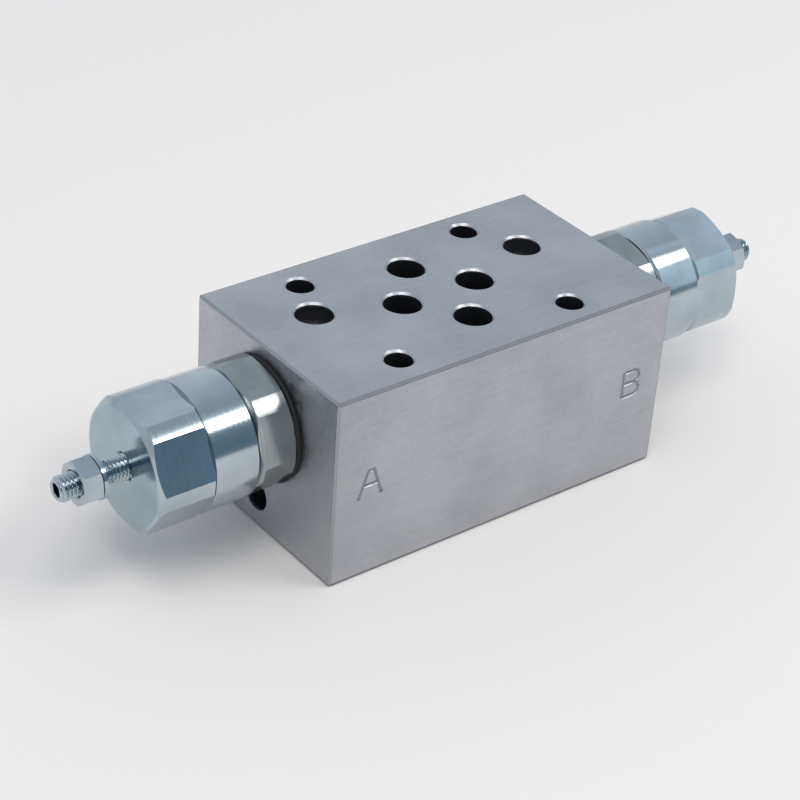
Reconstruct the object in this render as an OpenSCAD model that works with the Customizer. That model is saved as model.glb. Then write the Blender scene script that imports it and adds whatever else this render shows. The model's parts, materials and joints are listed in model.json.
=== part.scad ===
// Hydraulic sandwich valve: a drilled steel block between two port faces, with a throttle
// and check cartridge screwed into each end. The A line runs through the left cartridge and
// the B line through the right one; the P and T lines go straight through.
// Origin: middle of the bottom face. X along the cartridges, A side at -X. Y to the T port. Z up.

/* [Block] */
// Length of the block along the cartridges
block_l = 80; // [76:1:100]
// Width of the block
block_w = 45; // [44:1:60]
// Height between the two port faces
block_h = 40; // [38:1:50]
// Chamfer on the outer edges
block_edge = 0.4; // [0.2:0.1:1.2]

/* [Port pattern] */
// Diameter of the four flow ports
port_d = 7.5; // [6:0.1:8]
// Middle line of the pattern, across the block
pattern_y = 0; // [-2:0.05:2]
// Distance of the P and T ports from the middle line
port_pt_y = 10.4; // [10:0.1:12]
// Distance of the A port from the middle of the block
port_a_x = 8.8; // [8:0.1:10]
// Distance of the B port from the middle of the block
port_b_x = 8.7; // [8:0.1:10]
// Diameter of the fixing bolt holes
bolt_d = 5.5; // [5:0.1:6]
// Distance of the A side bolt holes from the middle of the block
bolt_a_x = 21.5; // [20:0.1:23]
// Distance of the B side bolt holes from the middle of the block
bolt_b_x = 19; // [18:0.1:21]
// Spacing of the A side bolt holes
bolt_a_y = 31; // [30:0.1:34]
// Spacing of the B side bolt holes
bolt_b_y = 32.5; // [30:0.1:34]
// Chamfer at the mouths of ports and bolt holes
mouth_edge = 0.4; // [0.2:0.1:0.6]

/* [Port seals] */
// Inner diameter of the port seals
port_seal_id = 9.2; // [8.6:0.1:9.6]
// Section of the port seals
port_seal_w = 1.6; // [1.2:0.05:1.7]

/* [Cavity] */
// Height of the cartridge axis above the bottom face
axis_z = 25; // [22:0.1:26]
// Thread that holds the cartridge
thread_d = 20; // [19:0.5:20.5]
// Length of that thread in the block
thread_l = 10; // [8:0.1:12]
// Diameter of the ring chamber round the cartridge
chamber_d = 16; // [15:0.1:16.8]
// Length of the ring chamber
chamber_l = 8.8; // [8:0.1:10]
// Diameter of the bore for the cartridge nose
nose_d = 13; // [12.6:0.1:13.4]
// Length of the bore for the cartridge nose
nose_l = 8; // [7:0.1:9]

/* [Drillings] */
// Diameter of the upright drillings at the ring chambers
cross_d = 7.5; // [6:0.1:8]
// Offset of the upright drillings behind the cartridge axis
cross_y = 5.6; // [4:0.1:7]
// Diameter of the long drillings from the end faces
gallery_d = 6.8; // [5:0.1:7.5]
// Offset of the long drillings behind the middle
gallery_y = 1.5; // [0:0.1:3]
// Height of the long drillings above the bottom face
gallery_z = 6.8; // [6:0.1:8]
// Length of the press plugs in the drillings
plug_l = 3.2; // [2:0.1:4]
// Depth of the plugs in the end faces
plug_depth = 4.6; // [3:0.1:7]

/* [Cartridge body] */
// Width across the flats of the collar
collar_af = 24; // [23:0.1:25]
// Diameter that the corners of the collar and of the cap are turned to
hex_turned_d = 26; // [25:0.1:27]
// Length of the collar
collar_l = 7.8; // [6:0.1:9]
// Gap for the seal under the collar
collar_gap = 1.2; // [0.8:0.1:1.6]
// Width of the seal ring under the collar
collar_seal_w = 2.05; // [1.6:0.05:2.4]
// Turn of the collar flats above the front
collar_turn = 17; // [0:1:59]
// Diameter of the inner bore
body_bore = 9.6; // [9.2:0.1:10]
// Diameter of the opening in the nose
throat_d = 6.4; // [5.8:0.1:6.8]
// Number of side openings
side_holes = 4; // [3:1:6]
// Diameter of the side openings
side_hole_d = 4; // [3:0.1:4.4]

/* [End cap] */
// Diameter of the round part
cap_d = 25.4; // [24:0.1:26]
// Length of the round part
cap_round_l = 9.5; // [8:0.1:12]
// Width across the flats of the hexagon
cap_af = 24; // [23:0.1:25]
// Length of the hexagon
cap_hex_l = 11.7; // [10:0.1:13]
// Turn of the hexagon flats above the front on the A side
cap_turn_a = 24.6; // [0:0.1:59]
// Turn of the hexagon flats above the front on the B side
cap_turn_b = 5; // [0:0.1:59]
// Gap between the collar and the cap
cap_gap = 0.2; // [0.1:0.1:0.6]
// Diameter of the thread between the body and the cap
neck_d = 17; // [16:0.1:18]
// Length of that thread
neck_l = 8; // [7:0.1:9]
// Length of the screw thread in the end of the cap
cap_wall = 5; // [4:0.1:6]

/* [Adjuster] */
// Thread diameter of the adjusting screw
screw_d = 5; // [4.6:0.1:5.4]
// Length of the adjusting screw
screw_l = 18.8; // [17:0.1:21]
// Width across the flats of the key socket
socket_af = 2.5; // [2:0.1:2.8]
// Depth of the key socket
socket_l = 3.2; // [2.5:0.1:4.5]
// Width across the flats of the locknut
nut_af = 8; // [7.6:0.1:9]
// Thickness of the locknut
nut_h = 4; // [3.4:0.1:4.6]
// Diameter of the washer
washer_d = 8.6; // [8:0.1:10]
// Thickness of the washer
washer_h = 0.8; // [0.6:0.1:1.2]
// Gap between the cap and the washer
nut_gap = 5.4; // [4:0.1:6]
// Turn of the locknut flats above the front
nut_turn = 10; // [0:1:59]

/* [Throttle and check valve] */
// Diameter of the throttle needle
needle_d = 3; // [2.8:0.1:3.2]
// Diameter of the needle head
head_d = 6.8; // [6:0.1:7.2]
// Length of the needle head
head_l = 3; // [2.5:0.1:3.4]
// Length of the flow notch in the needle
notch_l = 4.5; // [4:0.1:5]
// Length of the needle guide
guide_l = 10; // [9:0.1:11]
// Length of the check poppet
poppet_l = 20.4; // [19:0.1:22]
// Length of the guided rear part of the poppet
skirt_l = 6.6; // [6:0.1:7.2]
// Wire of the check spring
wire_d = 0.9; // [0.8:0.05:1]
// Number of coils of the check spring
coils = 7; // [5:1:8]

/* [Hidden] */
$fn = 96;
e = 0.01;
fit = 0.05;
slide_fit = 0.04;
// Stations along the cartridge axis, counted from the middle of the block outwards
st_face = block_l / 2;
st_seat = st_face - 0.3;
st_thread = st_seat - thread_l;
st_chamber = st_thread - chamber_l;
st_nose = st_chamber - nose_l;
st_cross = (st_thread + st_chamber) / 2;
st_tip = st_nose + 0.4;
st_collar = st_face + collar_gap;
st_rim = st_collar + collar_l;
st_neck = st_rim + neck_l;
st_cap = st_rim + cap_gap;
st_hex = st_cap + cap_round_l;
st_end = st_hex + cap_hex_l;
st_stop = st_end - cap_wall;
st_head = st_stop - 0.1 - head_l;
st_screw = st_stop - 0.1 + fit;
st_screw_end = st_screw + screw_l;
st_washer = st_end + nut_gap;
st_nut = st_washer + washer_h;
st_guide = st_neck - guide_l;
// Poppet stations: the cone closes on the edge of the throat
st_cone = st_tip + 1.7;
st_poppet = st_cone - 0.5;
st_skirt = st_poppet + poppet_l - skirt_l;
st_poppet_end = st_poppet + poppet_l;
st_pocket = st_poppet_end - 4.6;
poppet_d = body_bore - 2;
st_needle = st_poppet + 2.5;
collar_seal_d = collar_af + 1.2;
// Neck under the collar, inside the seal ring
neck_seat_d = collar_seal_d - 2 * collar_seal_w - 2 * fit;
sleeve_d = chamber_d - 2.2;
nose_out = nose_d - 2 * fit;
groove_d = nose_out - 2.5;
// Upright plug: between the ring chamber and the top face
plug_z = axis_z + chamber_d / 2 + 0.2;
plug_top = min(plug_z + plug_l, block_h - 0.6);
port_seat_d = port_seal_id + 2 * port_seal_w + 2 * fit;
steel = [0.62, 0.64, 0.68];
zinc = [0.76, 0.79, 0.84];
rubber = [0.05, 0.05, 0.05];
ptfe = [0.90, 0.89, 0.86];
brass = [0.80, 0.66, 0.36];

// Puts a shape drawn along Z onto the cartridge axis of one side, -1 for A and 1 for B
module on_axis(side) {
  translate([0, 0, axis_z])
    mirror([side < 0 ? 1 : 0, 0, 0])
      rotate([0, 90, 0])
        children();
}

// Straight bore along Z
module bore(d, from, to) {
  translate([0, 0, from])
    cylinder(d = d, h = to - from);
}

// Turned shape from a profile of [radius, station] points
module turned(profile) {
  rotate_extrude()
    polygon(profile);
}

// Hexagonal bar along Z with a flat turned up from the front
module hex_bar(af, from, to, turn) {
  translate([0, 0, from])
    rotate([0, 0, -turn])
      cylinder(d = af / cos(30), h = to - from, $fn = 6);
}

// Round seal with a circular section
module ring(mean_r, section, station) {
  translate([0, 0, station])
    rotate_extrude()
      translate([mean_r, 0])
        circle(d = section, $fn = 48);
}

// Box with chamfered edges, standing on its bottom face
module edged_box(l, w, h, c) {
  intersection() {
    linear_extrude(h)
      cut_square(l, w, c);
    translate([0, w / 2, h / 2])
      rotate([90, 0, 0])
        linear_extrude(w)
          cut_square(l, h, c);
    translate([-l / 2, 0, h / 2])
      rotate([90, 0, 90])
        linear_extrude(l)
          cut_square(w, h, c);
  }
}

module cut_square(a, b, c) {
  x = a / 2;
  y = b / 2;
  polygon([
    [-x + c, -y], [x - c, -y], [x, -y + c], [x, y - c],
    [x - c, y], [-x + c, y], [-x, y - c], [-x, -y + c]
  ]);
}

// Mouth chamfer of a hole in the top face
module top_mouth(d) {
  translate([0, 0, block_h - mouth_edge])
    cylinder(d1 = d, d2 = d + 2 * mouth_edge + 2 * e, h = mouth_edge + e);
}

// Mouth chamfer of a hole in the bottom face
module bottom_mouth(d) {
  translate([0, 0, -e])
    cylinder(d1 = d + 2 * mouth_edge + 2 * e, d2 = d, h = mouth_edge + e);
}

// Recess for a port seal in the bottom face
module seal_seat() {
  bore(port_seat_d, -1, port_seal_w + 0.02);
}

module at_ports() {
  for (p = [[0, pattern_y - port_pt_y], [0, pattern_y + port_pt_y],
            [-port_a_x, pattern_y], [port_b_x, pattern_y]])
    translate([p[0], p[1], 0])
      children();
}

module at_bolts() {
  for (s = [-1, 1]) {
    translate([-bolt_a_x, pattern_y + s * bolt_a_y / 2, 0])
      children();
    translate([bolt_b_x, pattern_y + s * bolt_b_y / 2, 0])
      children();
  }
}

// Stepped hole for one cartridge, with the passage on to its port
module cavity(port_x) {
  bore(neck_seat_d + 2 * fit, st_seat, st_face + 1);
  bore(thread_d + 2 * fit, st_thread, st_face);
  translate([0, 0, st_thread - 1])
    cylinder(d1 = chamber_d, d2 = chamber_d + 2, h = 1 + e);
  bore(chamber_d, st_chamber, st_thread);
  bore(nose_d, st_nose, st_chamber + e);
  bore(throat_d, port_x, st_nose + e);
}

// Line of one cartridge: upper port, ring chamber, upright and long drillings, lower port
module line_drillings(side, port_x) {
  translate([side * port_x, pattern_y, 0]) {
    bore(port_d, axis_z, block_h + 1);
    bore(port_d, -1, gallery_z + gallery_d / 4);
    top_mouth(port_d);
    seal_seat();
  }
  translate([side * st_cross, cross_y, 0]) {
    bore(cross_d, gallery_z, block_h + 1);
    top_mouth(cross_d);
  }
  translate([0, gallery_y, gallery_z])
    rotate([0, side * 90, 0])
      bore(gallery_d, port_x, st_face + 1);
}

module valve_block() {
  color(steel)
    difference() {
      edged_box(block_l, block_w, block_h, block_edge);
      on_axis(-1)
        cavity(port_a_x);
      on_axis(1)
        cavity(port_b_x);
      line_drillings(-1, port_a_x);
      line_drillings(1, port_b_x);
      for (y = [pattern_y - port_pt_y, pattern_y + port_pt_y])
        translate([0, y, 0]) {
          bore(port_d, -1, block_h + 1);
          top_mouth(port_d);
          seal_seat();
        }
      at_bolts() {
        bore(bolt_d, -1, block_h + 1);
        top_mouth(bolt_d);
        bottom_mouth(bolt_d);
      }
    }
}

module port_seals() {
  color(rubber)
    at_ports()
      ring((port_seal_id + port_seal_w) / 2, port_seal_w, port_seal_w / 2 + 0.01);
}

// Dished press plug along Z, with its open side at the far end
module plug(d, from, to) {
  r = d / 2 - fit;
  h = to - from;
  turned([
    [0, from], [r - 0.4, from], [r, from + 0.4], [r, to],
    [r * 0.66, to], [r * 0.52, to - h * 0.4], [0, to - h * 0.4]
  ]);
}

module press_plugs() {
  color(steel)
    for (side = [-1, 1]) {
      translate([side * st_cross, cross_y, 0])
        plug(cross_d, plug_z, plug_top);
      translate([0, gallery_y, gallery_z])
        rotate([0, side * 90, 0])
          plug(gallery_d, st_face - plug_depth - plug_l, st_face - plug_depth);
    }
}

// Screw-in body with the valve seat in its nose
module cartridge_body(side) {
  nose_r = nose_out / 2;
  neck_r = neck_d / 2;
  turned_r = hex_turned_d / 2;
  color(zinc)
    on_axis(side)
      difference() {
        union() {
          turned([
            [0, st_tip], [nose_r - 0.6, st_tip], [nose_r, st_tip + 0.6],
            [nose_r, st_tip + 2.2], [groove_d / 2, st_tip + 2.2],
            [groove_d / 2, st_tip + 5.2], [nose_r, st_tip + 5.2],
            [nose_r, st_chamber + 0.3], [sleeve_d / 2, st_chamber + 0.3],
            [sleeve_d / 2, st_thread + 0.3], [thread_d / 2 - 0.9, st_thread + 0.3],
            [thread_d / 2, st_thread + 1.2], [thread_d / 2, st_seat],
            [neck_seat_d / 2, st_seat], [neck_seat_d / 2, st_collar + e],
            [0, st_collar + e]
          ]);
          intersection() {
            hex_bar(collar_af, st_collar, st_rim, collar_turn);
            turned([
              [0, st_collar], [turned_r - 1, st_collar], [turned_r, st_collar + 0.6],
              [turned_r, st_rim - 0.6], [turned_r - 1, st_rim], [0, st_rim]
            ]);
          }
          turned([
            [0, st_rim - e], [neck_r, st_rim - e], [neck_r, st_neck - 0.6],
            [neck_r - 0.6, st_neck], [0, st_neck]
          ]);
        }
        bore(throat_d, st_tip - 1, st_neck);
        translate([0, 0, st_cone])
          cylinder(d1 = throat_d, d2 = body_bore, h = (body_bore - throat_d) / 2);
        bore(body_bore, st_cone + (body_bore - throat_d) / 2 - e, st_neck + 1);
        for (i = [0 : side_holes - 1])
          translate([0, 0, st_cross])
            rotate([0, 90, 45 + 360 * i / side_holes])
              bore(side_hole_d, body_bore / 2 - 1, sleeve_d / 2 + 1);
      }
}

// Squeezed seal between the collar and the block
module collar_seal(side) {
  inner = neck_seat_d / 2 + fit;
  outer = collar_seal_d / 2 - collar_gap / 2;
  color(rubber)
    on_axis(side)
      translate([0, 0, st_face])
        rotate_extrude()
          union() {
            translate([inner, 0])
              square([outer - inner, collar_gap]);
            translate([outer, collar_gap / 2])
              circle(d = collar_gap, $fn = 48);
          }
}

module nose_seal(side) {
  section = (nose_out - groove_d) / 2 - 0.02;
  color(rubber)
    on_axis(side)
      ring((nose_out + groove_d) / 4, section, st_tip + 2.3 + section / 2);
}

module nose_backup_ring(side) {
  color(ptfe)
    on_axis(side)
      difference() {
        bore(nose_out - 0.04, st_tip + 3.9, st_tip + 5.15);
        bore(groove_d + 0.04, st_tip, st_neck);
      }
}

// Cap with the adjuster thread: round at the collar, hexagonal at the end
module end_cap(side) {
  round_r = cap_d / 2;
  turned_r = hex_turned_d / 2;
  turn = side < 0 ? cap_turn_a : cap_turn_b;
  hole_r = screw_d / 2;
  color(zinc)
    on_axis(side)
      difference() {
        union() {
          turned([
            [0, st_cap], [round_r - 0.5, st_cap], [round_r, st_cap + 0.5],
            [round_r, st_hex + e], [0, st_hex + e]
          ]);
          intersection() {
            hex_bar(cap_af, st_hex, st_end, turn);
            turned([
              [0, st_hex], [turned_r - 0.5, st_hex], [turned_r, st_hex + 0.5],
              [turned_r, st_end - 0.9], [turned_r - 1.5, st_end], [0, st_end]
            ]);
          }
        }
        bore(neck_d + 2 * fit, st_cap - 1, st_neck);
        bore(head_d + 1.2, st_neck - e, st_stop);
        bore(2 * hole_r + 2 * fit, st_stop - e, st_end + 1);
        translate([0, 0, st_end - 0.5])
          cylinder(r1 = hole_r + fit, r2 = hole_r + fit + 0.5 + e, h = 0.5 + e);
      }
}

module needle_guide(side) {
  r = body_bore / 2 - slide_fit;
  needle_r = needle_d / 2;
  color(brass)
    on_axis(side)
      turned([
        [needle_r + slide_fit, st_guide], [r - 0.3, st_guide], [r, st_guide + 0.3],
        [r, st_guide + 4], [r - 1, st_guide + 4], [r - 1, st_guide + 5.4],
        [r, st_guide + 5.4], [r, st_neck], [needle_r + 1.6, st_neck],
        [needle_r + 1.6, st_neck - 1.8], [needle_r + slide_fit, st_neck - 1.8]
      ]);
}

module guide_seal(side) {
  color(rubber)
    on_axis(side)
      ring(body_bore / 2 - slide_fit - 0.48, 1, st_guide + 4.7);
}

module needle_seal(side) {
  color(rubber)
    on_axis(side)
      ring(needle_d / 2 + 0.8, 1.52, st_neck - 0.9);
}

// Needle with a slanted flow notch at the tip and a head for the screw
module throttle_needle(side) {
  r = needle_d / 2;
  color(steel)
    on_axis(side)
      difference() {
        turned([
          [0, st_needle], [r - 0.3, st_needle], [r, st_needle + 0.3], [r, st_head],
          [head_d / 2 - 0.3, st_head], [head_d / 2, st_head + 0.3],
          [head_d / 2, st_head + head_l - 0.3], [head_d / 2 - 0.3, st_head + head_l],
          [0, st_head + head_l]
        ]);
        rotate([90, 0, 0])
          linear_extrude(2 * r + 2, center = true)
            polygon([
              [-0.2 * r, st_needle - 1], [r + 1, st_needle - 1],
              [r + 1, st_needle + notch_l], [r, st_needle + notch_l]
            ]);
      }
}

// Hollow check poppet: cone at the throat, skirt guided in the body
module check_poppet(side) {
  front_r = throat_d / 2 - 0.5 - 0.07;
  mid_r = poppet_d / 2;
  skirt_r = body_bore / 2 - slide_fit;
  orifice_r = needle_d / 2 + slide_fit;
  inner_r = mid_r - 1;
  color(steel)
    on_axis(side)
      difference() {
        turned([
          [0, st_poppet], [front_r, st_poppet], [mid_r, st_poppet + mid_r - front_r],
          [mid_r, st_skirt - 0.8], [skirt_r, st_skirt], [skirt_r, st_poppet_end],
          [0, st_poppet_end]
        ]);
        bore(2 * orifice_r, st_poppet - 1, st_poppet_end);
        bore(2 * inner_r, st_poppet + 3.7, st_poppet_end);
        bore(2 * skirt_r - 1.1, st_pocket, st_poppet_end + 1);
        for (i = [0 : 3])
          translate([0, 0, st_poppet + 8])
            rotate([0, 90, 90 * i])
              bore(2.6, inner_r - 0.8, mid_r + 1);
      }
}

// Height of the coil's centre line after a number of turns: closed ends, open middle
function coil_z(t, n, len) =
  let (flat = wire_d * 1.08, open = (len - wire_d - 2 * flat) / (n - 2))
  wire_d / 2 + flat * min(t, 1) + open * min(max(t - 1, 0), n - 2) + flat * max(t - n + 1, 0);

module check_spring(side) {
  sides = 8;
  per_turn = 14;
  steps = coils * per_turn;
  len = st_guide - st_pocket;
  mean_r = body_bore / 2 - slide_fit - 0.55 - wire_d / 2 - 0.12;
  points = [
    for (i = [0 : steps], j = [0 : sides - 1])
      let (a = 360 * i / per_turn, b = 360 * j / sides, r = mean_r + wire_d / 2 * cos(b))
      [r * cos(a), r * sin(a), coil_z(i / per_turn, coils, len) + wire_d / 2 * sin(b)]
  ];
  walls = [
    for (i = [0 : steps - 1], j = [0 : sides - 1])
      let (k = (j + 1) % sides)
      [i * sides + j, (i + 1) * sides + j, (i + 1) * sides + k, i * sides + k]
  ];
  first = [for (j = [0 : sides - 1]) j];
  last = [for (j = [sides - 1 : -1 : 0]) steps * sides + j];
  color(steel)
    on_axis(side)
      translate([0, 0, st_pocket])
        polyhedron(points, concat(walls, [first, last]), convexity = 8);
}

module adjusting_screw(side) {
  r = screw_d / 2;
  color(zinc)
    on_axis(side)
      difference() {
        turned([
          [0, st_screw], [r - 0.7, st_screw], [r, st_screw + 0.7],
          [r, st_screw_end - 0.6], [r - 0.6, st_screw_end], [0, st_screw_end]
        ]);
        hex_bar(socket_af, st_screw_end - socket_l, st_screw_end + 1, 12);
        translate([0, 0, st_screw_end - 0.3])
          cylinder(d1 = socket_af, d2 = socket_af + 0.8, h = 0.3 + e);
      }
}

module lock_washer(side) {
  color(zinc)
    on_axis(side)
      difference() {
        bore(washer_d, st_washer, st_nut);
        bore(screw_d + 0.4, st_washer - 1, st_nut + 1);
      }
}

module locknut(side) {
  flat_r = nut_af / 2;
  st_top = st_nut + nut_h;
  hole_d = screw_d + 2 * fit;
  color(zinc)
    on_axis(side)
      difference() {
        intersection() {
          hex_bar(nut_af, st_nut, st_top, nut_turn);
          turned([
            [0, st_nut], [flat_r - 0.1, st_nut], [flat_r + 0.8, st_nut + 0.5],
            [flat_r + 0.8, st_top - 0.5], [flat_r - 0.1, st_top], [0, st_top]
          ]);
        }
        bore(hole_d, st_nut - 1, st_top + 1);
        translate([0, 0, st_top - 0.3])
          cylinder(d1 = hole_d, d2 = hole_d + 0.6 + 2 * e, h = 0.3 + e);
      }
}

valve_block();
port_seals();
press_plugs();
cartridge_body(-1);  // cartridge_body_a
collar_seal(-1);  // collar_seal_a
nose_seal(-1);  // nose_seal_a
nose_backup_ring(-1);  // nose_backup_ring_a
end_cap(-1);  // end_cap_a
needle_guide(-1);  // needle_guide_a
guide_seal(-1);  // guide_seal_a
needle_seal(-1);  // needle_seal_a
throttle_needle(-1);  // throttle_needle_a
check_poppet(-1);  // check_poppet_a
check_spring(-1);  // check_spring_a
adjusting_screw(-1);  // adjusting_screw_a
lock_washer(-1);  // lock_washer_a
locknut(-1);  // locknut_a
cartridge_body(1);  // cartridge_body_b
collar_seal(1);  // collar_seal_b
nose_seal(1);  // nose_seal_b
nose_backup_ring(1);  // nose_backup_ring_b
end_cap(1);  // end_cap_b
needle_guide(1);  // needle_guide_b
guide_seal(1);  // guide_seal_b
needle_seal(1);  // needle_seal_b
throttle_needle(1);  // throttle_needle_b
check_poppet(1);  // check_poppet_b
check_spring(1);  // check_spring_b
adjusting_screw(1);  // adjusting_screw_b
lock_washer(1);  // lock_washer_b
locknut(1);  // locknut_b
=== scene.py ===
import json
import math

import bmesh
import bpy
from mathutils import Matrix, Vector


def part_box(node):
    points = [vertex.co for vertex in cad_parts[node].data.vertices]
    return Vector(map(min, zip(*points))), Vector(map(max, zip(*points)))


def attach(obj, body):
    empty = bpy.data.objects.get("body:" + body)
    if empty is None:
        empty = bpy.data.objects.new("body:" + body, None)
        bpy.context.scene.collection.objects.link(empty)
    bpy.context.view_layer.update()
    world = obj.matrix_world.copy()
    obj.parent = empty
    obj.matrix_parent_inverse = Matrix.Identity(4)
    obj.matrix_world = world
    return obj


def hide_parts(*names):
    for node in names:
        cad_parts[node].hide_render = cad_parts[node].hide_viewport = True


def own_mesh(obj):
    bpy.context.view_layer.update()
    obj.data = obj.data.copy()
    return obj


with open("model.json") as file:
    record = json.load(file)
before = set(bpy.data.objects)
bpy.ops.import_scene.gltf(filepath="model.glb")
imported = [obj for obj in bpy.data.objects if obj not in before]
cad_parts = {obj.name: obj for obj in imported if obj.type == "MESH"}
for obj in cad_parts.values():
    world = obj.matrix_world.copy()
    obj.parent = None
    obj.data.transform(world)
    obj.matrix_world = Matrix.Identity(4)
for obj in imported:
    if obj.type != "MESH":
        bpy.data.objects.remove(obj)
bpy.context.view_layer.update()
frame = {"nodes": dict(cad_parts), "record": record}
mm = 0.001
sides = {"a": -1.0, "b": 1.0}  # direction of each cartridge along X
axisHeight = 25 * mm  # of both cartridges
print("frame loaded:", len(frame["nodes"]), "nodes")


# camera and light

cameraSet = {
    "place": (-0.25012, -0.29275, 0.26212),
    "forward": (0.53778, 0.64982, -0.53715),
    "roll": 4.260,  # degrees
    "lens": 104.72,
    "sensor": 36.0,
    "shiftY": -0.0125,
    "clip": (0.01, 20.0),
}


def placeCamera(setting):
    data = bpy.data.cameras.new("photoCamera")
    data.sensor_width = setting["sensor"]
    data.lens = setting["lens"]
    data.shift_y = setting["shiftY"]
    data.clip_start, data.clip_end = setting["clip"]
    camera = bpy.data.objects.new("photoCamera", data)
    bpy.context.scene.collection.objects.link(camera)
    forward = Vector(setting["forward"]).normalized()
    level = forward.cross(Vector((0, 0, 1))).normalized()
    up = level.cross(forward)
    roll = math.radians(setting["roll"])
    right = math.cos(roll) * level + math.sin(roll) * up
    top = right.cross(forward)
    turn = Matrix((right, top, -forward)).transposed().to_4x4()
    camera.matrix_world = Matrix.Translation(setting["place"]) @ turn
    bpy.context.scene.camera = camera


lightSet = {
    "key": {"from": (0.53, -0.44, 0.73), "aim": (0, 0, 0.025), "distance": 2.0, "size": (1.0, 0.38),
            "power": 10.7, "colour": (1.0, 0.95, 0.89)},
    "fill": {"from": (-0.26, -0.34, 0.90), "aim": (0, 0, 0.025), "distance": 2.0, "size": (1.1, 1.1),
             "power": 15.0, "colour": (1.0, 0.94, 0.87)},
    # two small cards lift the front and the upper flat of the B cap
    "card": {"from": (0.655, -0.649, 0.388), "aim": (0.066, -0.010, 0.032), "distance": 0.45,
             "size": (0.20, 0.24), "power": 0.082, "colour": (0.85, 0.97, 1.0)},
    "roofCard": {"from": (0.654, 0.024, 0.756), "aim": (0.066, -0.005, 0.036), "distance": 0.45,
                 "size": (0.08, 0.24), "power": 0.017, "colour": (0.67, 0.83, 1.0)},
}


def hangLamp(name, lamp):
    data = bpy.data.lights.new(name, "AREA")
    data.shape = "RECTANGLE"
    data.size, data.size_y = lamp["size"]
    data.energy = lamp["power"]
    data.color = lamp["colour"]
    obj = bpy.data.objects.new(name, data)
    bpy.context.scene.collection.objects.link(obj)
    away = Vector(lamp["from"]).normalized()
    obj.location = away * lamp["distance"] + Vector(lamp["aim"])
    obj.rotation_euler = (-away).to_track_quat("-Z", "Y").to_euler()


skySet = {
    "stops": [  # place from front to back, colour
        (0.05, (0.13, 0.22, 0.30, 1)), (0.25, (0.29, 0.39, 0.47, 1)), (0.50, (0.47, 0.52, 0.58, 1)),
        (0.82, (0.66, 0.72, 0.78, 1)), (1.0, (0.74, 0.78, 0.82, 1)),
    ],
}


def paintSky(setting):
    world = bpy.data.worlds.new("studioSky")
    bpy.context.scene.world = world
    world.use_nodes = True
    nodes, links = world.node_tree.nodes, world.node_tree.links
    nodes.clear()
    out = nodes.new("ShaderNodeOutputWorld")
    where = nodes.new("ShaderNodeTexCoord")
    split = nodes.new("ShaderNodeSeparateXYZ")
    back = nodes.new("ShaderNodeMapRange")
    back.inputs["From Min"].default_value = -1.0
    ramp = nodes.new("ShaderNodeValToRGB")
    while len(ramp.color_ramp.elements) < len(setting["stops"]):
        ramp.color_ramp.elements.new(0.5)
    for stop, (place, colour) in zip(ramp.color_ramp.elements, setting["stops"]):
        stop.position, stop.color = place, colour
    sky = nodes.new("ShaderNodeBackground")
    links.new(where.outputs["Generated"], split.inputs[0])
    links.new(split.outputs["Y"], back.inputs["Value"])
    links.new(back.outputs["Result"], ramp.inputs["Fac"])
    links.new(ramp.outputs["Color"], sky.inputs["Color"])
    links.new(sky.outputs[0], out.inputs["Surface"])


floorSet = {"half": 12.0, "drop": 0.0002, "colour": (0.895, 0.85, 0.832, 1), "rough": 0.9, "gloss": 0.1}


def layFloor(setting):
    half, low = setting["half"], -setting["drop"]
    mesh = bpy.data.meshes.new("paleFloor")
    corners = [(-half, -half, low), (half, -half, low), (half, half, low), (-half, half, low)]
    mesh.from_pydata(corners, [], [(0, 1, 2, 3)])
    floor = bpy.data.objects.new("paleFloor", mesh)
    bpy.context.scene.collection.objects.link(floor)
    paint = bpy.data.materials.new("palePaper")
    paint.use_nodes = True
    shader = paint.node_tree.nodes["Principled BSDF"]
    shader.inputs["Base Color"].default_value = setting["colour"]
    shader.inputs["Roughness"].default_value = setting["rough"]
    shader.inputs["Specular IOR Level"].default_value = setting["gloss"]
    mesh.materials.append(paint)


placeCamera(cameraSet)
for lampName, lamp in lightSet.items():
    hangLamp(lampName + "Lamp", lamp)
paintSky(skySet)
layFloor(floorSet)
scene = bpy.context.scene
scene.view_settings.view_transform = "Standard"
print("camera, lamps and floor set")


# shader node groups

def newGroup(name, inputs, outputs):
    group = bpy.data.node_groups.new(name, "ShaderNodeTree")
    for kind, label, value in inputs:
        socket = group.interface.new_socket(label, in_out="INPUT", socket_type=kind)
        socket.default_value = value
    for kind, label in outputs:
        group.interface.new_socket(label, in_out="OUTPUT", socket_type=kind)
    return group, group.nodes.new("NodeGroupInput"), group.nodes.new("NodeGroupOutput")


def addNode(tree, kind, **settings):
    node = tree.nodes.new(kind)
    for label, value in settings.items():
        setattr(node, label, value)
    return node


def math2(tree, operation, first, second=None, clamp=False):
    node = addNode(tree, "ShaderNodeMath", operation=operation, use_clamp=clamp)
    for socket, value in zip(node.inputs, (first, second)):
        if value is None:
            continue
        if isinstance(value, (int, float)):
            socket.default_value = value
        else:
            tree.links.new(value, socket)
    return node.outputs[0]


def ramp2(tree, value, low, high, lowOut=0.0, highOut=1.0):
    node = addNode(tree, "ShaderNodeMapRange", interpolation_type="SMOOTHSTEP")
    tree.links.new(value, node.inputs["Value"])
    for label, number in zip(("From Min", "From Max", "To Min", "To Max"), (low, high, lowOut, highOut)):
        node.inputs[label].default_value = number
    return node.outputs["Result"]


def noise(tree, vector, scale, detail=2.0, stretch=None):
    node = addNode(tree, "ShaderNodeTexNoise")
    node.inputs["Scale"].default_value = scale
    node.inputs["Detail"].default_value = detail
    if stretch:
        turn = addNode(tree, "ShaderNodeMapping")
        turn.inputs["Scale"].default_value = stretch
        tree.links.new(vector, turn.inputs["Vector"])
        vector = turn.outputs["Vector"]
    tree.links.new(vector, node.inputs["Vector"])
    return node.outputs["Fac"]


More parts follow.
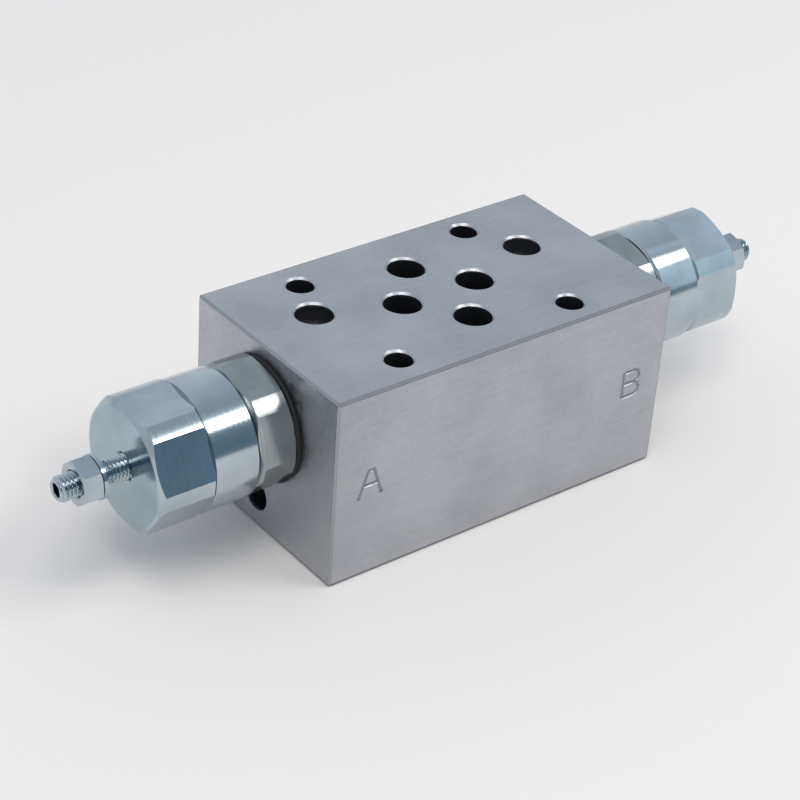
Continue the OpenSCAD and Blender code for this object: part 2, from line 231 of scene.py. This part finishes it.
cutSet = {
    "fine": {"stretch": (140, 5200, 5200), "detail": 3.0, "share": 0.6},  # lines along X
    "coarse": {"stretch": (60, 1500, 1500), "detail": 2.0, "share": 0.4},
    "Mottle": {"scale": 70.0, "detail": 4.0},
    "Specks": {"scale": 900.0, "detail": 3.0},
}


def makeCutMarks(setting):
    group, start, end = newGroup(
        "cutMarks",
        [("NodeSocketVector", "Place", (0, 0, 0)), ("NodeSocketFloat", "Grain", 1.0)],
        [("NodeSocketFloat", "Lines"), ("NodeSocketFloat", "Mottle"), ("NodeSocketFloat", "Specks")])
    place = start.outputs["Place"]
    shares = []
    for label in ("fine", "coarse"):
        lines = setting[label]
        streaks = noise(group, place, 1.0, lines["detail"], lines["stretch"])
        shares.append(math2(group, "MULTIPLY", streaks, lines["share"]))
    both = math2(group, "ADD", *shares)
    group.links.new(math2(group, "MULTIPLY", both, start.outputs["Grain"]), end.inputs["Lines"])
    for label in ("Mottle", "Specks"):
        spots = noise(group, place, setting[label]["scale"], setting[label]["detail"])
        group.links.new(spots, end.inputs[label])
    return group


turnedSet = {
    "lean": 0.4,  # carries the rings on over the faced ends
    "ringDetail": 2.0,
    "Mottle": {"scale": 120.0, "detail": 4.0},
    "Stain": {"scale": 38.0, "detail": 3.0},
}


def makeTurnedMarks(setting):
    group, start, end = newGroup(
        "turnedMarks",
        [("NodeSocketVector", "Place", (0, 0, 0)), ("NodeSocketFloat", "Pitch", 0.0005)],
        [("NodeSocketFloat", "Rings"), ("NodeSocketFloat", "Mottle"), ("NodeSocketFloat", "Stain")])
    place = start.outputs["Place"]
    split = addNode(group, "ShaderNodeSeparateXYZ")
    group.links.new(place, split.inputs[0])
    up = math2(group, "SUBTRACT", split.outputs["Z"], axisHeight)
    acrossSquare = math2(group, "POWER", split.outputs["Y"], 2.0)
    square = math2(group, "ADD", acrossSquare, math2(group, "POWER", up, 2.0))
    radius = math2(group, "SQRT", square)
    along = math2(group, "ADD", split.outputs["X"], math2(group, "MULTIPLY", radius, setting["lean"]))
    turns = math2(group, "DIVIDE", along, start.outputs["Pitch"])
    join = addNode(group, "ShaderNodeCombineXYZ")
    group.links.new(turns, join.inputs["X"])
    group.links.new(noise(group, join.outputs[0], 1.0, setting["ringDetail"]), end.inputs["Rings"])
    for label in ("Mottle", "Stain"):
        spots = noise(group, place, setting[label]["scale"], setting[label]["detail"])
        group.links.new(spots, end.inputs[label])
    return group


def makeBlockZones():
    sizes = ("Half Length", "Half Width", "Height", "Mouth", "Chamfer",
             "Stamp Skin", "Stamp Depth", "Bore Fade", "Stamp Fade")
    zones = ("Bore", "Stamp", "Edge", "Top Edge")
    group, start, end = newGroup(
        "blockZones",
        [("NodeSocketVector", "Place", (0, 0, 0))] + [("NodeSocketFloat", label, 0.0) for label in sizes],
        [("NodeSocketFloat", label) for label in zones])
    given = start.outputs
    split = addNode(group, "ShaderNodeSeparateXYZ")
    group.links.new(given["Place"], split.inputs[0])
    alongX = math2(group, "ABSOLUTE", split.outputs["X"])
    alongY = math2(group, "ABSOLUTE", split.outputs["Y"])
    fromEnd = math2(group, "SUBTRACT", given["Half Length"], alongX)
    fromSide = math2(group, "SUBTRACT", given["Half Width"], alongY)
    fromTop = math2(group, "SUBTRACT", given["Height"], split.outputs["Z"])
    fromFlat = math2(group, "MINIMUM", split.outputs["Z"], fromTop)
    nearest = math2(group, "MINIMUM", fromEnd, math2(group, "MINIMUM", fromSide, fromFlat))
    pairs = math2(group, "MINIMUM", math2(group, "ADD", fromEnd, fromSide),
                  math2(group, "MINIMUM", math2(group, "ADD", fromSide, fromFlat),
                        math2(group, "ADD", fromEnd, fromFlat)))
    clear = math2(group, "GREATER_THAN", pairs, given["Chamfer"])  # off the broken edges
    # Bore: painted shade, dark past the mouth of every hole and drilling; the same mask also roughens the
    # bores
    pastMouth = math2(group, "SUBTRACT", nearest, given["Mouth"])
    deep = math2(group, "MULTIPLY", pastMouth, given["Bore Fade"], clamp=True)
    group.links.new(math2(group, "MULTIPLY", deep, clear), end.inputs["Bore"])
    # Stamp: painted shade in the stamped letter grooves, darker past the skin depth
    pastSkin = math2(group, "SUBTRACT", nearest, given["Stamp Skin"])
    sunk = math2(group, "MULTIPLY", pastSkin, given["Stamp Fade"], clamp=True)
    shallow = math2(group, "LESS_THAN", fromSide, given["Stamp Depth"])
    stamped = math2(group, "MULTIPLY", sunk, shallow)
    group.links.new(math2(group, "MULTIPLY", stamped, clear), end.inputs["Stamp"])
    # Edge: painted shade on all broken edges, darker than the faces; the same mask sets their roughness
    group.links.new(math2(group, "SUBTRACT", 1.0, clear), end.inputs["Edge"])
    # Top Edge: painted shade, a dark line along the long top edges
    longEdge = math2(group, "ADD", fromSide, fromTop)
    group.links.new(math2(group, "LESS_THAN", longEdge, given["Chamfer"]), end.inputs["Top Edge"])
    return group


cutMarks = makeCutMarks(cutSet)
turnedMarks = makeTurnedMarks(turnedSet)
blockZones = makeBlockZones()


# materials

def newMaterial(name, metallic):
    material = bpy.data.materials.new(name)
    material.use_nodes = True
    tree = material.node_tree
    shader = tree.nodes["Principled BSDF"]
    shader.inputs["Metallic"].default_value = metallic
    place = addNode(tree, "ShaderNodeTexCoord").outputs["Object"]
    return material, tree, shader, place


def useGroup(tree, group, place, **values):
    node = addNode(tree, "ShaderNodeGroup", node_tree=group)
    tree.links.new(place, node.inputs["Place"])
    for label, value in values.items():
        node.inputs[label].default_value = value
    return node


def mixColour(tree, share, first, second, blend="MIX"):
    node = addNode(tree, "ShaderNodeMix", data_type="RGBA", blend_type=blend)
    for socket, value in ((node.inputs[0], share), (node.inputs[6], first), (node.inputs[7], second)):
        if isinstance(value, (int, float, tuple)):
            socket.default_value = value
        else:
            tree.links.new(value, socket)
    return node.outputs[2]


def bumpFrom(tree, shader, height, distance, strength):
    node = addNode(tree, "ShaderNodeBump")
    node.inputs["Distance"].default_value = distance
    node.inputs["Strength"].default_value = strength
    tree.links.new(height, node.inputs["Height"])
    tree.links.new(node.outputs[0], shader.inputs["Normal"])


blockSteelSet = {
    # the bore colour is painted shade inside the holes
    "light": (0.51, 0.525, 0.555, 1), "dark": (0.41, 0.425, 0.455, 1), "bore": (0.05, 0.052, 0.06, 1),
    # stamp, edge and paintedTopEdgeShade are painted shade colours: letter grooves, broken edges and long
    # top edges
    "stamp": (0.29, 0.30, 0.325, 1), "edge": (0.34, 0.35, 0.37, 1), "paintedTopEdgeShade": (0.24, 0.245, 0.265, 1),
    "grain": 1.0, "lineShare": 0.45, "mottleShare": 0.55, "toneRange": (0.32, 0.68),
    "speckRange": (0.3, 0.7), "rough": (0.36, 0.50),
    "boreRough": 0.62, "edgeRough": 0.26, "topEdgeRough": 0.62,
    "bump": 0.00003, "bumpStrength": 0.5,
    "zones": {  # metres, and fades per metre
        "Half Length": 0.04, "Half Width": 0.0225, "Height": 0.04, "Mouth": 0.00045, "Chamfer": 0.00055,
        "Stamp Skin": 0.00003, "Stamp Depth": 0.0004, "Bore Fade": 3000.0, "Stamp Fade": 6000.0,
    },
}


def makeBlockSteel(setting):
    material, tree, shader, place = newMaterial("milledSteel", 1.0)
    marks = useGroup(tree, cutMarks, place, Grain=setting["grain"]).outputs
    zones = useGroup(tree, blockZones, place, **setting["zones"]).outputs
    tone = math2(tree, "ADD", math2(tree, "MULTIPLY", marks["Lines"], setting["lineShare"]),
                 math2(tree, "MULTIPLY", marks["Mottle"], setting["mottleShare"]))
    face = mixColour(tree, ramp2(tree, tone, *setting["toneRange"]), setting["dark"], setting["light"])
    # the Edge, Top Edge, Stamp and Bore colours are painted shade laid over the milled face
    for zone, colour in (("Edge", "edge"), ("Top Edge", "paintedTopEdgeShade"), ("Stamp", "stamp"), ("Bore", "bore")):
        face = mixColour(tree, zones[zone], face, setting[colour])
    tree.links.new(face, shader.inputs["Base Color"])
    rough = ramp2(tree, marks["Specks"], *setting["speckRange"], *setting["rough"])
    inBore = math2(tree, "MULTIPLY", zones["Bore"], setting["boreRough"])
    rough = math2(tree, "MAXIMUM", rough, inBore)
    offEdge = math2(tree, "MULTIPLY", rough, math2(tree, "SUBTRACT", 1.0, zones["Edge"]))
    onEdge = math2(tree, "MULTIPLY", zones["Edge"], setting["edgeRough"])
    onTopEdge = math2(tree, "MULTIPLY", zones["Top Edge"], setting["topEdgeRough"])
    rough = math2(tree, "MAXIMUM", math2(tree, "ADD", offEdge, onEdge), onTopEdge)
    tree.links.new(rough, shader.inputs["Roughness"])
    bumpFrom(tree, shader, marks["Lines"], setting["bump"], setting["bumpStrength"])
    return material


turnedBase = {  # what the turned and moulded pieces share
    "metallic": 1.0, "gloss": 0.5, "pitch": 0.0005, "bump": 0.00001, "bumpStrength": 0.5,
    "mottleRange": (0.3, 0.7), "ringRange": (0.3, 0.7),
}
zincSet = dict(
    turnedBase, pitch=0.00035, bump=0.000004, rough=(0.11, 0.20),
    light=(0.49, 0.555, 0.595, 1), dark=(0.40, 0.465, 0.505, 1),
    stain=(0.47, 0.515, 0.50, 1), stainRange=(0.55, 0.75), stainShare=(0.0, 0.6))
capSet = dict(  # the faced ends are painted darker than the turned sides: painted shade
    zincSet, facedEndShade=(0.81, 0.90, 0.93, 1), facedFrom=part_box("end_cap_b")[1].x - 0.05 * mm)
collarSet = dict(  # the collars are a darker, greyer copy of the cap zinc: painted shade
    zincSet, light=(0.39, 0.42, 0.425, 1), dark=(0.30, 0.33, 0.335, 1),
    stain=(0.36, 0.385, 0.36, 1), rough=(0.15, 0.24))
steelSet = dict(
    turnedBase, light=(0.50, 0.50, 0.51, 1), dark=(0.36, 0.36, 0.37, 1), rough=(0.25, 0.4))
rubberSet = dict(
    turnedBase, metallic=0.0, gloss=0.3, light=(0.018, 0.020, 0.021, 1), dark=(0.008, 0.009, 0.010, 1),
    rough=(0.45, 0.65))
brassSet = dict(
    turnedBase, light=(0.80, 0.62, 0.30, 1), dark=(0.62, 0.46, 0.20, 1), rough=(0.22, 0.38))
ptfeSet = dict(
    turnedBase, metallic=0.0, light=(0.86, 0.85, 0.82, 1), dark=(0.80, 0.79, 0.76, 1), rough=(0.45, 0.6))


def makeTurned(name, setting):
    material, tree, shader, place = newMaterial(name, setting["metallic"])
    shader.inputs["Specular IOR Level"].default_value = setting["gloss"]
    marks = useGroup(tree, turnedMarks, place, Pitch=setting["pitch"]).outputs
    mottle = ramp2(tree, marks["Mottle"], *setting["mottleRange"])
    face = mixColour(tree, mottle, setting["dark"], setting["light"])
    if "stain" in setting:
        shade = ramp2(tree, marks["Stain"], *setting["stainRange"], *setting["stainShare"])
        face = mixColour(tree, shade, face, setting["stain"])
    # painted shade: the faced ends beyond facedFrom are multiplied darker
    if "facedEndShade" in setting:
        split = addNode(tree, "ShaderNodeSeparateXYZ")
        tree.links.new(place, split.inputs[0])
        outward = math2(tree, "ABSOLUTE", split.outputs["X"])
        faced = math2(tree, "GREATER_THAN", outward, setting["facedFrom"])
        face = mixColour(tree, faced, face, setting["facedEndShade"], "MULTIPLY")
    tree.links.new(face, shader.inputs["Base Color"])
    rough = ramp2(tree, marks["Rings"], *setting["ringRange"], *setting["rough"])
    tree.links.new(rough, shader.inputs["Roughness"])
    bumpFrom(tree, shader, marks["Rings"], setting["bump"], setting["bumpStrength"])
    return material


milledSteel = makeBlockSteel(blockSteelSet)
brightZinc = makeTurned("brightZinc", zincSet)
capZinc = makeTurned("capZinc", capSet)
shadedCollarZinc = makeTurned("shadedCollarZinc", collarSet)
hardSteel = makeTurned("hardSteel", steelSet)
sealRubber = makeTurned("sealRubber", rubberSet)
guideBrass = makeTurned("guideBrass", brassSet)
backupPtfe = makeTurned("backupPtfe", ptfeSet)
slotMaterials = {
    "block_steel": milledSteel, "zinc_plate": brightZinc, "hard_steel": hardSteel,
    "seal_rubber": sealRubber, "brass": guideBrass, "ptfe": backupPtfe,
}
# the cartridge bodies take the painted-shade copy of the zinc
pieceMaterials = {"cartridge_body": shadedCollarZinc, "end_cap": capZinc}
for part in frame["record"]["subparts"]:
    node = frame["nodes"][part["node"]]
    kind = part["node"].removesuffix("_a").removesuffix("_b")
    node.data.materials.clear()
    node.data.materials.append(pieceMaterials.get(kind, slotMaterials[part["material_slot"]]))
print("materials ready:", len(slotMaterials) + len(pieceMaterials))


def smoothByAngle(mesh, degrees):
    for polygon in mesh.polygons:
        polygon.use_smooth = True
    mesh.set_sharp_from_angle(angle=math.radians(degrees))


def addPiece(name, mesh, material, body):
    mesh.materials.clear()
    mesh.materials.append(material)
    piece = bpy.data.objects.new(name, mesh)
    bpy.context.scene.collection.objects.link(piece)
    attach(piece, body)
    return piece


def bakeObject(obj, name):
    bpy.context.view_layer.update()
    mesh = bpy.data.meshes.new_from_object(obj.evaluated_get(bpy.context.evaluated_depsgraph_get()))
    mesh.name = name
    bpy.data.objects.remove(obj)
    return mesh


# block with its port marks

markSet = {
    "A": {"centre": (-31.7, 20.4), "size": (5.2, 5.8), "strokes": [
        [(-0.5, -0.5), (-0.12, 0.5), (0.12, 0.5), (0.5, -0.5)], [(-0.31, -0.04), (0.31, -0.04)]]},
    "B": {"centre": (32.2, 20.6), "size": (4.3, 5.8), "strokes": [
        [(-0.5, -0.5), (-0.5, 0.5)],
        [(-0.46, 0.49), (0.12, 0.49), (0.36, 0.42), (0.44, 0.26), (0.36, 0.10), (0.12, 0.03), (-0.46, 0.03)],
        [(0.10, 0.02), (0.38, -0.06), (0.48, -0.24), (0.38, -0.42), (0.12, -0.49), (-0.46, -0.49)]]},
    "stroke": 0.50, "strokeSteps": 3, "proud": 0.26, "face": -22.5, "smooth": 30,
}
weldGap = 1e-6


def strokeCutter(points, mark):
    curve = bpy.data.curves.new("markStroke", "CURVE")
    curve.dimensions = "3D"
    curve.bevel_depth = markSet["stroke"] * mm
    curve.bevel_resolution = markSet["strokeSteps"]
    curve.use_fill_caps = True
    line = curve.splines.new("POLY")
    line.points.add(len(points) - 1)
    for point, (across, up) in zip(line.points, points):
        x = (mark["centre"][0] + across * mark["size"][0]) * mm
        z = (mark["centre"][1] + up * mark["size"][1]) * mm
        point.co = (x, (markSet["face"] - markSet["proud"]) * mm, z, 1)
    obj = bpy.data.objects.new("markStroke", curve)
    bpy.context.scene.collection.objects.link(obj)
    return obj


def closeMesh(mesh, turnOut=False):
    shape = bmesh.new()
    shape.from_mesh(mesh)
    bmesh.ops.remove_doubles(shape, verts=shape.verts, dist=weldGap)
    if turnOut:
        bmesh.ops.recalc_face_normals(shape, faces=shape.faces)
    openEdges = sum(not edge.is_manifold for edge in shape.edges)
    shape.to_mesh(mesh)
    shape.free()
    if "custom_normal" in mesh.attributes:
        mesh.attributes.remove(mesh.attributes["custom_normal"])
    print(mesh.name, "open edges:", openEdges)
    return mesh


def stampBlock():
    mesh = closeMesh(frame["nodes"]["valve_block"].data.copy())
    block = bpy.data.objects.new("stampedBlock", mesh)
    bpy.context.scene.collection.objects.link(block)
    cutters = []
    for letter in ("A", "B"):
        for points in markSet[letter]["strokes"]:
            stroke = bakeObject(strokeCutter(points, markSet[letter]), "markCutter")
            cutter = bpy.data.objects.new("markCutter", closeMesh(stroke, True))
            bpy.context.scene.collection.objects.link(cutter)
            cut = block.modifiers.new("stamp", "BOOLEAN")
            cut.operation = "DIFFERENCE"
            cut.solver = "EXACT"
            cut.object = cutter
            cutters.append(cutter)
    stamped = bakeObject(block, "stampedBlock")
    for cutter in cutters:
        bpy.data.objects.remove(cutter)
    smoothByAngle(stamped, markSet["smooth"])
    piece = addPiece("stampedBlock", stamped, milledSteel, "block")
    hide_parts("valve_block")
    print("block stamped:", len(stamped.polygons), "faces")


stampBlock()


# adjusting screws with their thread and key socket

screwSet = {
    "radius": 2.48, "pitch": 0.8, "depth": 0.46, "flank": 1.35, "root": 0.12, "chamfer": 0.6,
    "socketFlats": 2.5, "socketDepth": 3.2, "socketTip": 0.7, "flatTurn": 12.0,
    "leadWidth": 0.22, "leadDepth": 0.25,
    "round": 60, "perPitch": 12, "smooth": 38,
}


def threadRadius(turnShare, height, length):
    crest = (height / screwSet["pitch"] - turnShare) % 1.0
    slope = abs(crest - 0.5) * 2 * screwSet["flank"] - screwSet["root"]
    tooth = min(1.0, max(0.0, slope))  # flat crest and narrow root
    radius = screwSet["radius"] - screwSet["depth"] * (1 - tooth)
    edge = min(height, length - height)
    return min(radius, screwSet["radius"] - screwSet["chamfer"] + edge)


def hexRadius(angle, flats):
    sixth = math.radians(60)
    turned = (angle - sixth / 2 - math.radians(screwSet["flatTurn"])) % sixth
    return flats / 2 / math.cos(turned - sixth / 2)


def makeScrew(side):
    direction = sides[side]
    low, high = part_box("adjusting_screw_" + side)
    length = (high.x - low.x) / mm
    inner = low.x if direction > 0 else high.x
    count = screwSet["round"]
    steps = int(length * screwSet["perPitch"] / screwSet["pitch"])
    rim = [2 * math.pi * i / count for i in range(count)]
    rings = []
    for step in range(steps + 1):
        height = length * step / steps
        rings.append([(height, a, threadRadius(i / count, height, length)) for i, a in enumerate(rim)])
    flats, deep = screwSet["socketFlats"], length - screwSet["socketDepth"]
    rings.append([(length, a, hexRadius(a, flats) + screwSet["leadWidth"]) for a in rim])
    rings.append([(length - screwSet["leadDepth"], a, hexRadius(a, flats)) for a in rim])
    rings.append([(deep, a, hexRadius(a, flats)) for a in rim])
    shape = bmesh.new()
    loops = []
    for ring in rings:
        loop = []
        for height, angle, radius in ring:
            x = inner + direction * height * mm
            y = radius * math.cos(angle) * mm
            z = axisHeight + radius * math.sin(angle) * mm * direction
            loop.append(shape.verts.new((x, y, z)))
        loops.append(loop)
    for one, two in zip(loops, loops[1:]):
        for i in range(count):
            shape.faces.new((one[i], one[i - 1], two[i - 1], two[i]))
    shape.faces.new(loops[0])
    tip = shape.verts.new((inner + direction * (deep - screwSet["socketTip"]) * mm, 0, axisHeight))
    for i in range(count):
        shape.faces.new((loops[-1][i], loops[-1][i - 1], tip))
    bmesh.ops.recalc_face_normals(shape, faces=shape.faces)
    mesh = bpy.data.meshes.new("threadedScrew_" + side)
    shape.to_mesh(mesh)
    shape.free()
    smoothByAngle(mesh, screwSet["smooth"])
    piece = addPiece("threadedScrew_" + side, mesh, brightZinc, "screw_" + side)
    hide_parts("adjusting_screw_" + side)


for side in sides:
    makeScrew(side)
print("screws threaded")


# check springs, wound by geometry nodes

springSet = {
    "coils": 7.0, "wire": 0.45, "meanRadius": 3.64, "perTurn": 40, "wireSides": 12, "keep": 0.88,
}


def makeCoilTree():
    tree = bpy.data.node_groups.new("coilWinder", "GeometryNodeTree")
    for kind, label in (("NodeSocketFloat", "Coils"), ("NodeSocketFloat", "Mean Radius"),
                        ("NodeSocketFloat", "Length"), ("NodeSocketFloat", "Wire Radius"),
                        ("NodeSocketMaterial", "Finish")):
        tree.interface.new_socket(label, in_out="INPUT", socket_type=kind)
    tree.interface.new_socket("Geometry", in_out="OUTPUT", socket_type="NodeSocketGeometry")
    start, end = addNode(tree, "NodeGroupInput"), addNode(tree, "NodeGroupOutput")
    spiral = addNode(tree, "GeometryNodeCurveSpiral")
    spiral.inputs["Resolution"].default_value = springSet["perTurn"]
    ring = addNode(tree, "GeometryNodeCurvePrimitiveCircle")
    ring.inputs["Resolution"].default_value = springSet["wireSides"]
    sweep = addNode(tree, "GeometryNodeCurveToMesh")
    sweep.inputs["Fill Caps"].default_value = True
    real = addNode(tree, "GeometryNodeRealizeInstances")
    finish = addNode(tree, "GeometryNodeSetMaterial")
    links = tree.links
    links.new(start.outputs["Coils"], spiral.inputs["Rotations"])
    links.new(start.outputs["Mean Radius"], spiral.inputs["Start Radius"])
    links.new(start.outputs["Mean Radius"], spiral.inputs["End Radius"])
    links.new(start.outputs["Length"], spiral.inputs["Height"])
    links.new(start.outputs["Wire Radius"], ring.inputs["Radius"])
    links.new(spiral.outputs[0], sweep.inputs["Curve"])
    links.new(ring.outputs[0], sweep.inputs["Profile Curve"])
    links.new(sweep.outputs[0], real.inputs[0])
    links.new(real.outputs[0], finish.inputs["Geometry"])
    links.new(start.outputs["Finish"], finish.inputs["Material"])
    links.new(finish.outputs[0], end.inputs[0])
    return tree


def setInputs(modifier, values):
    for item in modifier.node_group.interface.items_tree:
        if item.item_type == "SOCKET" and item.in_out == "INPUT" and item.name in values:
            modifier[item.identifier] = values[item.name]


coilWinder = makeCoilTree()
for side, direction in sides.items():
    low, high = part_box("check_spring_" + side)
    wire = springSet["wire"] * mm
    holder = bpy.data.objects.new("coilHolder", bpy.data.meshes.new("coilHolder"))
    bpy.context.scene.collection.objects.link(holder)
    wound = holder.modifiers.new("winder", "NODES")
    wound.node_group = coilWinder
    setInputs(wound, {"Coils": springSet["coils"], "Mean Radius": springSet["meanRadius"] * mm,
                      "Length": high.x - low.x - 2 * wire, "Wire Radius": wire, "Finish": hardSteel})
    coil = bakeObject(holder, "woundSpring_" + side)
    layAlongX = Matrix.Rotation(math.radians(90), 4, "Y")
    coil.transform(Matrix.Translation((low.x + wire, 0, axisHeight)) @ layAlongX)
    for polygon in coil.polygons:
        polygon.use_smooth = True
    piece = addPiece("woundSpring_" + side, coil, hardSteel, "block")
    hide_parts("check_spring_" + side)
    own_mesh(piece)
print("springs wound")
